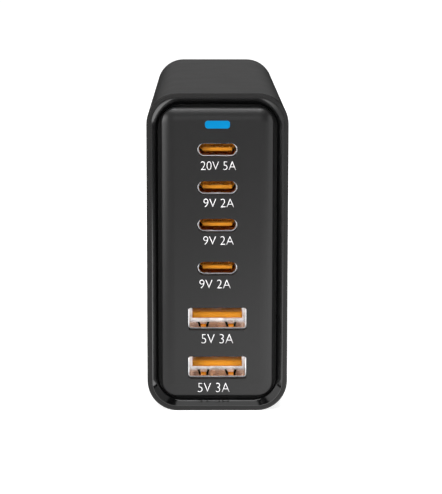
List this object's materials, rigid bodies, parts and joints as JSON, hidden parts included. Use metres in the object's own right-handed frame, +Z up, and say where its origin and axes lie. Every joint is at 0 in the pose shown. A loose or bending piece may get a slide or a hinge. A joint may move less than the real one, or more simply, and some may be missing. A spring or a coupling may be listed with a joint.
{
  "type": "multi port usb desktop charger",
  "caption": "Upright desktop charger: a rounded black body with USB-C and USB-A sockets stacked in a satin front plate, a blue status light above them and a mains inlet in its back.",
  "frame": {"origin": "middle of the underside", "axes": "+Z up; -Y is the way the sockets face; +X to the right for someone who looks at the sockets"},
  "size_m": [0.031, 0.0978, 0.071],
  "materials": {
    "housing_plastic": "satin",
    "gloss_frame": "gloss",
    "satin_plate": "satin",
    "status_light": "satin",
    "light_chip": "matte",
    "socket_steel": "satin",
    "socket_insulator": "satin",
    "contact_plating": "satin",
    "circuit_board": "satin",
    "black_moulding": "satin",
    "inlet_pin": "satin",
    "ferrite": "matte",
    "taped_winding": "satin",
    "wire_winding": "satin",
    "capacitor_sleeve": "satin",
    "capacitor_can": "satin",
    "film_capacitor": "satin",
    "filter_capacitor": "satin",
    "component_block": "matte",
    "heat_sink": "satin",
    "insulation": "matte",
    "soft_pad": "matte",
    "label_print": "matte"
  },
  "bodies": {
    "root": {"housing": "housing_plastic", "front_frame": "gloss_frame", "face_plate": "satin_plate", "led_light_guide": "status_light", "led_chip": "light_chip", "usb_c_shell_1": "socket_steel", "usb_c_shell_2": "socket_steel", "usb_c_shell_3": "socket_steel", "usb_c_shell_4": "socket_steel", "usb_a_shell_1": "socket_steel", "usb_a_shell_2": "socket_steel", "usb_c_tongue_1": "socket_insulator", "usb_c_tongue_2": "socket_insulator", "usb_c_tongue_3": "socket_insulator", "usb_c_tongue_4": "socket_insulator", "usb_a_tongue_1": "socket_insulator", "usb_a_tongue_2": "socket_insulator", "usb_c_contacts_1": "contact_plating", "usb_c_contacts_2": "contact_plating", "usb_c_contacts_3": "contact_plating", "usb_c_contacts_4": "contact_plating", "usb_a_contacts_1": "contact_plating", "usb_a_contacts_2": "contact_plating", "port_board": "circuit_board", "main_board": "circuit_board", "converter_board": "circuit_board", "ac_inlet_body": "black_moulding", "board_link": "black_moulding", "transformer_bobbin": "black_moulding", "pfc_choke_bobbin": "black_moulding", "ac_inlet_pins": "inlet_pin", "transformer_core": "ferrite", "pfc_choke_core": "ferrite", "emi_choke_core": "ferrite", "transformer_winding": "taped_winding", "pfc_choke_winding": "taped_winding", "emi_choke_winding": "wire_winding", "bulk_capacitor_1": "capacitor_sleeve", "bulk_capacitor_2": "capacitor_sleeve", "output_capacitors": "capacitor_can", "x_capacitor": "film_capacitor", "y_capacitor": "filter_capacitor", "fuse": "component_block", "bridge_rectifier": "component_block", "converter_inductors": "component_block", "power_switches": "component_block", "bridge_heat_sink": "heat_sink", "output_heat_sink": "heat_sink", "heat_spreader": "heat_sink", "insulation_sheet": "insulation", "thermal_pad": "soft_pad"}
  },
  "joints": []
}
